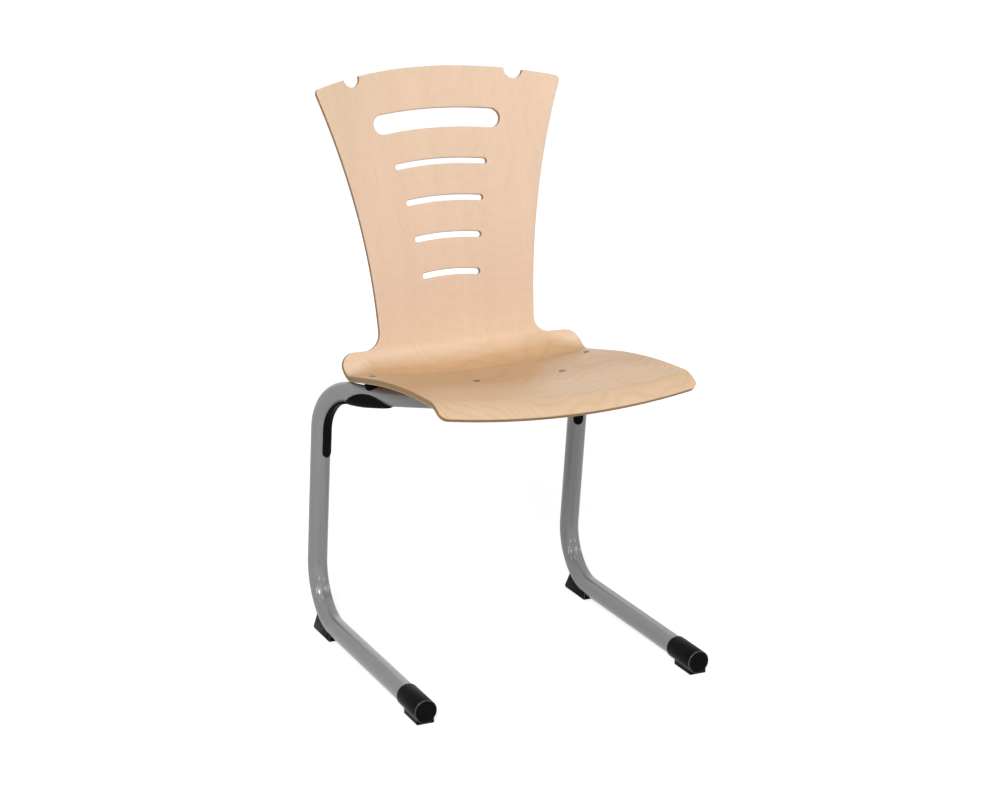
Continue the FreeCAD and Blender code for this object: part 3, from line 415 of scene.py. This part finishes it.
def build_sheet(name, face_material, edge_material):
    """The moulded sheet: two dense faces joined by a wall with rounded rims."""
    top_loops, low_loops = outlines(0.0), outlines(SHELL_T)
    row_size = sum(len(loop) for loop in top_loops)
    rows, grid = wall_rows(), sheet_grid()
    verts, flat = [], []
    for amount, depth in rows:
        share = depth / SHELL_T
        for top, low in zip(top_loops, low_loops):
            loop = inset(top * (1 - share) + low * share, amount)
            verts.append(sheet_point(loop[:, 0], loop[:, 1], depth))
            flat.append(loop * MM)
    faces, slots, uvs = wall_faces(rows, top_loops, np.concatenate(flat))
    last_row = (len(rows) - 1) * row_size
    for first, loops, depth, flip in ((0, top_loops, 0.0, False), (last_row, low_loops, SHELL_T, True)):
        points, triangles = triangulate([inset(loop, EDGE_ROUND) for loop in loops], grid)
        base = sum(len(v) for v in verts)
        inner = points[row_size:]
        verts.append(sheet_point(inner[:, 0], inner[:, 1], depth))
        index = np.concatenate([np.arange(row_size) + first, np.arange(len(inner)) + base])
        if flip:
            triangles = triangles[:, ::-1]
        for triangle in triangles:
            faces.append(tuple(index[triangle]))
            slots.append(0)
            uvs += [tuple(points[k] * MM) for k in triangle]
    return new_piece(name, np.concatenate(verts), faces, [face_material, edge_material], slots, uvs)


# Frame axis: straight runs with tangent arcs
def unit(v):
    return v / np.linalg.norm(v)


def frame_corners(side):
    """Corners of the frame's axis on one side, from the front foot to the middle under the seat."""
    toe = np.array([side * RUNNER_X, TUBE_FRONT_Y, RUNNER_Z])
    heel = np.array([side * RUNNER_X, HEEL_Y, RUNNER_Z])
    shoulder = np.array([side * RUNNER_X, HEEL_Y - (RAIL_Z - RUNNER_Z) * math.tan(LEAN), RAIL_Z])
    rear, front = (np.array([side * x, y]) for x, y in (REAR_SCREW, FRONT_SCREW))
    knee = np.append(rear - unit(front - rear) * RAIL_CORNER_REACH, RAIL_Z)
    rail = np.append(front, RAIL_FRONT_Z) - knee
    nose = knee + rail * (knee[0] / (knee[0] - front[0]))
    return [toe, heel, shoulder, knee, nose]


def corner_fit(before, corner, after, radius):
    """Start, centre and end of the arc at a corner, and its turn."""
    back, on = unit(before - corner), unit(after - corner)
    half = math.acos(float(back @ on)) / 2
    reach = radius / math.tan(half)
    centre = corner + unit(back + on) * (radius / math.sin(half))
    return corner + back * reach, centre, corner + on * reach, math.pi - 2 * half


def path_points(corners, radii):
    """Points and tangents along the bent axis."""
    points, tangents = [], []
    start = corners[0]
    for before, corner, after, radius in zip(corners, corners[1:], corners[2:], radii):
        first, centre, last, turn = corner_fit(before, corner, after, radius)
        way = unit(first - start)
        count = max(1, int(np.linalg.norm(first - start) / STRAIGHT_STEP))
        for t in np.linspace(0, 1, count + 1)[:-1]:
            points.append(start + (first - start) * t)
            tangents.append(way)
        out, way = unit(first - centre), unit(corner - first)
        count = max(4, int(radius * turn / BEND_STEP))
        for a in np.linspace(0, turn, count + 1)[:-1]:
            points.append(centre + radius * (out * math.cos(a) + way * math.sin(a)))
            tangents.append(way * math.cos(a) - out * math.sin(a))
        start = last
    way = unit(corners[-1] - start)
    for t in np.linspace(0, 1, LAST_RUN_RINGS):
        points.append(start + (corners[-1] - start) * t)
        tangents.append(way)
    return np.array(points), np.array(tangents)


def sweep_rings(points, tangents, across):
    """Rings of the tube about the path, turned as little as possible from one to the next."""
    side = unit(across - tangents[0] * (across @ tangents[0]))
    angles = np.arange(TUBE_SEGMENTS) / TUBE_SEGMENTS * 2 * math.pi
    rings = []
    for point, way in zip(points, tangents):
        side = unit(side - way * (side @ way))
        up = np.cross(way, side)
        rings.append(point + TUBE_R * (np.cos(angles)[:, None] * side + np.sin(angles)[:, None] * up))
    return np.array(rings)


def ring_faces(ring_count, size):
    """Quads between rings of one size, which follow each other."""
    faces = []
    for r in range(ring_count - 1):
        for i in range(size):
            j = (i + 1) % size
            faces.append((r * size + i, r * size + j, (r + 1) * size + j, (r + 1) * size + i))
    return faces


def press_dents(verts):
    """Push the tube's wall in on the inside of both lower bends: a soft arc with a crowned floor."""
    corners = frame_corners(1)
    bend_centre = corner_fit(corners[0], corners[1], corners[2], BEND_R)[1][1:]
    shift = DENT_DEPTH / (1 - math.cos(DENT_HALF))
    hub = bend_centre + polar(DENT_MIDDLE) * shift
    off_middle = (np.abs(verts[:, 0]) - RUNNER_X) / DENT_HALF_WIDTH
    crown = DENT_CROWN * np.clip(1 - off_middle ** 2, 0, None)
    reach = BEND_R - TUBE_R + DENT_DEPTH - shift - crown
    step = verts[:, 1:] - hub
    far = np.linalg.norm(step, axis=1)
    near = far < reach + DENT_MARGIN
    past = np.log1p(np.exp((reach[near] - far[near]) / DENT_SOFTNESS))
    pushed = far[near] + DENT_SOFTNESS * past
    verts[near, 1:] = hub + step[near] * (pushed / far[near])[:, None]


def build_tube(name, material):
    """The bent tube, with the pressed hollow on the inside of each lower bend."""
    corners = frame_corners(-1) + frame_corners(1)[-2::-1]
    radii = [BEND_R, BEND_R, RAIL_BEND_R, BEND_R, RAIL_BEND_R, BEND_R, BEND_R]
    points, tangents = path_points(corners, radii)
    verts = sweep_rings(points, tangents, np.array([1.0, 0.0, 0.0])).reshape(-1, 3)
    press_dents(verts)
    faces = ring_faces(len(points), TUBE_SEGMENTS)
    faces.append(tuple(range(TUBE_SEGMENTS))[::-1])
    faces.append(tuple(range(len(verts) - TUBE_SEGMENTS, len(verts))))
    return new_piece(name, verts, faces, [material])


# Mouldings: the solids' own shapes with rounded edges, in metres
MOULDING_ROUND = 0.0009
SAME_PLACE = 5e-6
FLAT_ANGLE, SHARP_ANGLE, SMOOTH_ANGLE = math.radians(0.5), math.radians(32), math.radians(40)
# The rounded front of a cap, by its normal's y, and above its base. It takes the rim moulding, painted
# lighter as a highlight.
CAP_FRONT, CAP_BASE_TOP = (-0.97, -0.25), 0.008


def softened(name, node_name, width, materials):
    """Piece shaped like a solid, with its sharp edges rounded. The rounding, and the rounded front of a cap,
    take the second material: on caps and feet a glossier moulding painted lighter as a highlight.
    """
    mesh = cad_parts[node_name].data.copy()
    mesh.name = name
    mesh.materials.clear()
    for material in materials:
        mesh.materials.append(material)
    shape = bmesh.new()
    shape.from_mesh(mesh)
    bmesh.ops.remove_doubles(shape, verts=shape.verts, dist=SAME_PLACE)
    bmesh.ops.dissolve_limit(shape, angle_limit=FLAT_ANGLE, verts=shape.verts, edges=shape.edges)
    sharp = [e for e in shape.edges if len(e.link_faces) == 2 and e.calc_face_angle(0) > SHARP_ANGLE]
    for face in shape.faces:
        rounded = CAP_FRONT[0] < face.normal.y < CAP_FRONT[1] and face.calc_center_median().z > CAP_BASE_TOP
        face.material_index = 1 if rounded and "cap" in node_name else 0
    bmesh.ops.bevel(shape, geom=sharp, offset=width, segments=2, profile=0.5, affect="EDGES",
                    clamp_overlap=False, material=1)
    for face in shape.faces:
        face.smooth = True
    shape.to_mesh(mesh)
    shape.free()
    mesh.set_sharp_from_angle(angle=SMOOTH_ANGLE)
    return place_in_scene(name, mesh)


# Materials
class Nodes:
    """Short hand for the node tree of one material."""

    def __init__(self, name):
        self.material = bpy.data.materials.new(name)
        self.material.use_nodes = True
        self.tree = self.material.node_tree
        self.shader = self.tree.nodes["Principled BSDF"]

    def add(self, kind, inputs=None, **settings):
        node = self.tree.nodes.new("ShaderNode" + kind)
        for key, value in settings.items():
            setattr(node, key, value)
        for key, value in (inputs or {}).items():
            self.put(node, key, value)
        return node

    def put(self, node, key, value):
        """Link a socket to an input, or set the input to a value."""
        socket = node.inputs[key]
        if isinstance(value, bpy.types.NodeSocket):
            self.tree.links.new(value, socket)
        else:
            socket.default_value = value

    def set(self, **values):
        """Plain values of the shader, with _ for the spaces in their names."""
        for key, value in values.items():
            self.shader.inputs[key.replace("_", " ")].default_value = value

    def math(self, operation, a, b=0.0, c=None):
        inputs = {0: a, 1: b} if c is None else {0: a, 1: b, 2: c}
        return self.add("Math", inputs, operation=operation).outputs[0]

    def times(self, a, b):
        return self.math("MULTIPLY", a, b)

    def scaled(self, a, factor, base):
        """a times factor plus base."""
        return self.math("MULTIPLY_ADD", a, factor, base)

    def ramp(self, factor, stops):
        node = self.add("ValToRGB", {"Fac": factor})
        elements = node.color_ramp.elements
        while len(elements) < len(stops):
            elements.new(0.5)
        for element, (place, colour) in zip(elements, stops):
            element.position = place
            element.color = (colour, colour, colour, 1.0) if isinstance(colour, float) else (*colour, 1.0)
        return node.outputs["Color"]

    def multiplied(self, a, b):
        """Product of two colours."""
        node = self.add("Mix", data_type="RGBA", blend_type="MULTIPLY")
        for key, value in ((0, 1.0), (6, a), (7, b)):
            self.put(node, key, value)
        return node.outputs[2]

    def noise(self, vector, scale, detail, roughness):
        inputs = {"Vector": vector, "Scale": scale, "Detail": detail, "Roughness": roughness}
        return self.add("TexNoise", inputs).outputs["Fac"]

    def stretched(self, vector, scale, offset=(0, 0, 0)):
        node = self.add("Mapping", {"Vector": vector, "Scale": scale, "Location": offset})
        return node.outputs["Vector"]

    def flat_place(self):
        """Place on the flat sheet in metres, which the UVs hold."""
        return self.add("UVMap", uv_map="UVMap").outputs["UV"]

    def place(self):
        return self.add("TexCoord").outputs["Object"]

    def bump(self, height, strength, distance):
        node = self.add("Bump", {"Height": height, "Strength": strength, "Distance": distance})
        self.put(self.shader, "Normal", node.outputs["Normal"])


def srgb(r, g, b):
    """Linear colour of 8-bit display values."""
    parts = (r / 255, g / 255, b / 255)
    return tuple(c / 12.92 if c <= 0.04045 else ((c + 0.055) / 1.055) ** 2.4 for c in parts)


# Tones of the veneer from the lip (0) to the crest (1), as display values. They hold a part of
# the light and shade of the photograph, so the seat stays darker than the back under other light.
VENEER_AND_PAINTED_SHADE_TONES = ((0.0, (226, 193, 159)), (0.12, (223, 187, 149)), (0.22, (206, 163, 117)),
                (0.36, (206, 168, 127)), (0.462, (210, 171, 131)), (0.50, (241, 213, 184)),
                (0.60, (237, 206, 181)), (1.0, (236, 206, 178)))
TONE_FROM, TONE_TO = -0.38, 0.52
# The tilt shifts the tones across the sheet, so the painted shade of the seat starts sooner on one side than
# the other.
PAINTED_SHADE_TILT = -0.05
# The ears are moved towards the lighter tones of the back, which paints light on them.
EAR_PAINTED_LIGHT_FROM, EAR_PAINTED_LIGHT = 0.155, 0.8
# Growth rings: a wavy field of heights, cut into rings, strong on the seat and weak on the back
RINGS_PER_METRE = 32.0
RING_DRIFT, RING_ARCH, RING_ARCH_X = 0.62, -5.0, 0.035
RING_SHAPE = [(0.0, 0.0), (0.14, 0.7), (0.4, 1.0), (0.8, 0.6), (1.0, 0.0)]
RING_STRENGTH = [(0.44, 1.0), (0.52, 0.3)]


def wood_face():
    """Lacquered beech veneer: its tone along the sheet, which holds painted shade and light, growth rings,
    pores and short flecks.
    """
    n = Nodes("beech_veneer")
    uv = n.flat_place()
    split = n.add("SeparateXYZ", {"Vector": uv})
    across, along = split.outputs["X"], split.outputs["Y"]
    # Painted light on the ears and painted shade tilted across the sheet, both set through the place on the
    # tone ramp.
    ear = n.math("MAXIMUM", n.math("SUBTRACT", n.math("ABSOLUTE", across), EAR_PAINTED_LIGHT_FROM), 0.0)
    tilted = n.scaled(ear, EAR_PAINTED_LIGHT, n.scaled(across, PAINTED_SHADE_TILT, along))
    reach = n.add("MapRange", {"Value": tilted, "From Min": TONE_FROM, "From Max": TONE_TO})
    place = reach.outputs["Result"]
    tone = n.ramp(place, [(stop, srgb(*colour)) for stop, colour in VENEER_AND_PAINTED_SHADE_TONES])
    drift = n.noise(n.stretched(uv, (5.0, 2.6, 1), (0.35, 0.1, 0)), 1.0, 2.0, 0.45)
    aside = n.math("SUBTRACT", across, RING_ARCH_X)
    arch = n.times(n.times(aside, aside), RING_ARCH)
    field = n.math("ADD", n.math("ADD", along, arch), n.times(drift, RING_DRIFT))
    rings = n.ramp(n.math("FRACT", n.times(field, RINGS_PER_METRE)), RING_SHAPE)
    rings = n.times(rings, n.ramp(place, RING_STRENGTH))
    broad = n.noise(n.stretched(uv, (26, 1.1, 1), (3, 1, 0)), 1.0, 3.0, 0.5)
    fine = n.noise(n.stretched(uv, (620, 16, 1)), 1.0, 5.0, 0.62)
    flecks = n.noise(n.stretched(uv, (900, 130, 1), (7, 2, 0)), 1.0, 2.0, 0.5)
    dark = n.ramp(flecks, [(0.64, 0.0), (0.74, 1.0)])
    shade = n.scaled(rings, 0.08, 0.945)
    for mark, factor, base in ((broad, 0.10, 0.95), (fine, 0.13, 0.935), (dark, -0.07, 1.0)):
        shade = n.times(shade, n.scaled(mark, factor, base))
    # A darker mark is warmer too
    grey = n.add("CombineColor", {0: shade, 1: n.math("POWER", shade, 1.25), 2: n.math("POWER", shade, 1.6)})
    # The tone along the sheet is the veneer's colour, with painted shade darkening the seat against the back.
    n.put(n.shader, "Base Color", n.multiplied(tone, grey.outputs[0]))
    n.put(n.shader, "Roughness", n.scaled(fine, 0.16, 0.36))
    n.set(Specular_IOR_Level=0.35)
    n.bump(n.math("ADD", fine, n.times(dark, -0.8)), 0.18, 0.0002)
    return n.material


def ply_edge():
    """Edge of the plywood: thin veneers with glue lines, end grain running across them."""
    n = Nodes("plywood_edge")
    uv = n.flat_place()
    depth = n.add("SeparateXYZ", {"Vector": uv}).outputs["Y"]
    veneers = 7
    wander = n.noise(n.stretched(uv, (14, 1, 1)), 1.0, 2.0, 0.5)
    layers = n.scaled(depth, veneers / (SHELL_T * MM), n.times(wander, 0.2))
    layer = n.math("FRACT", layers)
    turned = n.math("FRACT", n.times(layers, 0.5))
    grain = n.noise(n.stretched(uv, (420, 1500, 1)), 1.0, 4.0, 0.65)
    glue, light, dark = srgb(138, 102, 66), srgb(196, 157, 111), srgb(188, 148, 103)
    bands = n.ramp(layer, [(0.0, glue), (0.14, light), (0.86, dark), (1.0, glue)])
    cross = n.ramp(turned, [(0.48, 1.0), (0.52, 0.84)])
    tone = n.ramp(grain, [(0.3, 0.78), (0.7, 1.0)])
    n.put(n.shader, "Base Color", n.multiplied(n.multiplied(bands, cross), tone))
    n.put(n.shader, "Roughness", n.scaled(grain, 0.2, 0.42))
    n.set(Specular_IOR_Level=0.12)
    n.bump(grain, 0.3, 0.0002)
    return n.material


def lacquer():
    """Silver grey powder coat: fine flakes and a slight orange peel."""
    n = Nodes("grey_lacquer")
    place = n.place()
    speckle = n.noise(place, 1500.0, 2.0, 0.5)
    peel = n.noise(place, 260.0, 2.0, 0.5)
    n.put(n.shader, "Base Color", n.ramp(speckle, [(0.35, srgb(138, 138, 139)), (0.65, srgb(149, 149, 150))]))
    n.put(n.shader, "Roughness", n.scaled(speckle, 0.08, 0.20))
    n.set(Metallic=0.25, Specular_IOR_Level=0.3)
    n.bump(peel, 0.012, 0.0002)
    return n.material


def black_plastic(name, shade, roughness, shine):
    """Injection moulded black plastic with a fine spark texture."""
    n = Nodes(name)
    place = n.place()
    grain = n.noise(place, 2200.0, 3.0, 0.6)
    wear = n.noise(place, 60.0, 4.0, 0.6)
    tones = [(0.3, srgb(shade, shade, shade)), (0.7, srgb(shade + 5, shade + 5, shade + 6))]
    n.put(n.shader, "Base Color", n.ramp(wear, tones))
    n.put(n.shader, "Roughness", n.scaled(wear, 0.12, roughness))
    n.set(Specular_IOR_Level=shine)
    n.bump(grain, 0.12, 0.0001)
    return n.material


def zinc():
    """Zinc plated steel with fine turning marks."""
    n = Nodes("zinc_steel")
    grain = n.noise(n.place(), 900.0, 3.0, 0.6)
    n.put(n.shader, "Base Color", n.ramp(grain, [(0.3, srgb(104, 106, 110)), (0.7, srgb(132, 134, 138))]))
    n.put(n.shader, "Roughness", n.scaled(grain, 0.2, 0.28))
    n.set(Metallic=0.9)
    n.bump(grain, 0.1, 0.0001)
    return n.material


FACE, EDGE, GREY = wood_face(), ply_edge(), lacquer()
# The rim moulding is glossier than the black one, and its grey colour is a painted highlight on the rounded
# edges.
BLACK, RIM_PAINTED_HIGHLIGHT = black_plastic("black_moulding", 19, 0.26, 0.012), black_plastic("moulding_rim_painted_highlight", 60, 0.2, 0.4)
PAD, STEEL = black_plastic("pad_moulding", 14, 0.4, 0.012), zinc()
SKINS = (("screw", STEEL), ("nut", STEEL), ("tube", GREY), ("shell", FACE), ("spacer", PAD))
for name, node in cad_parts.items():
    skin = next((material for word, material in SKINS if word in name), BLACK)
    for material_slot in node.material_slots:
        material_slot.material = skin

# Pieces that stand for solids
shell = build_sheet("moulded_shell", FACE, EDGE)
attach(shell, "root")
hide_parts("seat_shell")

tube = build_tube("lacquered_tube", GREY)
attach(tube, "root")
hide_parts("frame_tube")

for side in ("left", "right"):
    for kind in ("front_cap", "rear_foot", "hang_guard"):
        # Caps and feet get the lighter rim moulding, a painted highlight on their rounded edges; the guards
        # stay plain black.
        rim = BLACK if "guard" in kind else RIM_PAINTED_HIGHLIGHT
        piece = softened("soft_%s_%s" % (kind, side), "%s_%s" % (kind, side), MOULDING_ROUND, (BLACK, rim))
        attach(piece, "root")
        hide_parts("%s_%s" % (kind, side))

# Floor and background
FLOOR_SIZE, FLOOR_DROP = 60.0, -0.0005
# White added to the floor for the rays that look at it: less by the chair, where the lamps light
# it and the shadow has to show, and more beyond them
LIFT_NEAR, LIFT_FAR = 0.72, 0.86
LIFT_START, LIFT_END = 0.8, 2.2
WORLD_LIGHT = 0.26


def plane(name, size, place):
    mesh = bpy.data.meshes.new(name)
    half = size / 2
    corners = [(-half, -half, 0), (half, -half, 0), (half, half, 0), (-half, half, 0)]
    mesh.from_pydata(corners, [], [(0, 1, 2, 3)])
    return place_in_scene(name, mesh, place)


def seen_as_background(tree):
    """1 for the rays that look at the background, 0 for those that carry light."""
    path = tree.nodes.new("ShaderNodeLightPath")
    total = path.outputs["Is Camera Ray"]
    for other in ("Is Glossy Ray", "Is Transmission Ray"):
        node = tree.nodes.new("ShaderNodeMath")
        node.operation = "MAXIMUM"
        tree.links.new(total, node.inputs[0])
        tree.links.new(path.outputs[other], node.inputs[1])
        total = node.outputs[0]
    return total


def floor_material():
    """Pale floor that keeps the shadow, with its white lifted for the rays that look at it."""
    n = Nodes("pale_floor")
    place = n.place()
    grain = n.noise(place, 3.0, 2.0, 0.5)
    n.put(n.shader, "Base Color", n.ramp(grain, [(0.3, 0.61), (0.7, 0.63)]))
    n.set(Roughness=0.9, Specular_IOR_Level=0.0, Emission_Color=(1, 1, 1, 1))
    away = n.add("VectorMath", {0: place}, operation="LENGTH").outputs["Value"]
    lift = n.add("MapRange", {"Value": away, "From Min": LIFT_START, "From Max": LIFT_END,
                              "To Min": LIFT_NEAR, "To Max": LIFT_FAR}).outputs["Result"]
    n.put(n.shader, "Emission Strength", n.times(seen_as_background(n.tree), lift))
    return n.material


floor = plane("floor", FLOOR_SIZE, (0, 0, FLOOR_DROP))
floor.data.materials.append(floor_material())


# Lamps as (name, place, target, width, power in watts, height of a rectangle). The strips make
# the highlights on the recess of the left lower bend.
RECESS_AIM = (-0.2285, 0.175, 1.15)
LAMPS = (
    ("key", (-2.4, -3.2, 2.9), (0, 0, 0.5), 1.5, 108, None),
    ("fill", (2.4, -3.0, 1.5), (0, 0, 0.4), 1.2, 10, None),
    ("top", (0, -0.6, 3.2), (0, 0, 0.45), 1.0, 13, None),
    ("behind", (0.6, 3.2, 1.3), (0, 0, 0.5), 3.0, 10, None),
    ("strip_left", (-0.62, -2.29, 1.15), RECESS_AIM, 0.08, 5, 1.5),
    ("strip_right", (1.74, -1.36, 1.15), RECESS_AIM, 0.08, 5, 1.5),
)


def turn_towards(obj, way):
    obj.rotation_euler = way.to_track_quat("-Z", "Y").to_euler()


def area_light(name, place, target, size, power, tall):
    light = bpy.data.lights.new(name, "AREA")
    light.shape = "RECTANGLE" if tall else "DISK"
    light.size = size
    if tall:
        light.size_y = tall
    light.energy = power
    turn_towards(place_in_scene(name, light, place), Vector(target) - Vector(place))


for lamp in LAMPS:
    area_light(*lamp)

world = bpy.data.worlds.new("studio")
bpy.context.scene.world = world
world.use_nodes = True
backdrop = world.node_tree.nodes["Background"]
backdrop.inputs["Color"].default_value = (1, 1, 1, 1)
level = world.node_tree.nodes.new("ShaderNodeMapRange")
level.inputs["To Min"].default_value = WORLD_LIGHT
level.inputs["To Max"].default_value = 1.0
world.node_tree.links.new(seen_as_background(world.node_tree), level.inputs["Value"])
world.node_tree.links.new(level.outputs["Result"], backdrop.inputs["Strength"])

# Camera at the photograph's viewing angle
SENSOR, LENS = 36.0, 81.193
CAMERA_PLACE = (-1.40706, -3.07126, 1.34646)
AZIMUTH, ELEVATION = -0.431088, 0.272135

camera = place_in_scene("camera", bpy.data.cameras.new("camera"), CAMERA_PLACE)
camera.data.sensor_width = SENSOR
camera.data.lens = LENS
turn_towards(camera, Vector((-math.sin(AZIMUTH) * math.cos(ELEVATION),
                             math.cos(AZIMUTH) * math.cos(ELEVATION), -math.sin(ELEVATION))))
bpy.context.scene.camera = camera
bpy.context.scene.view_settings.view_transform = "Standard"
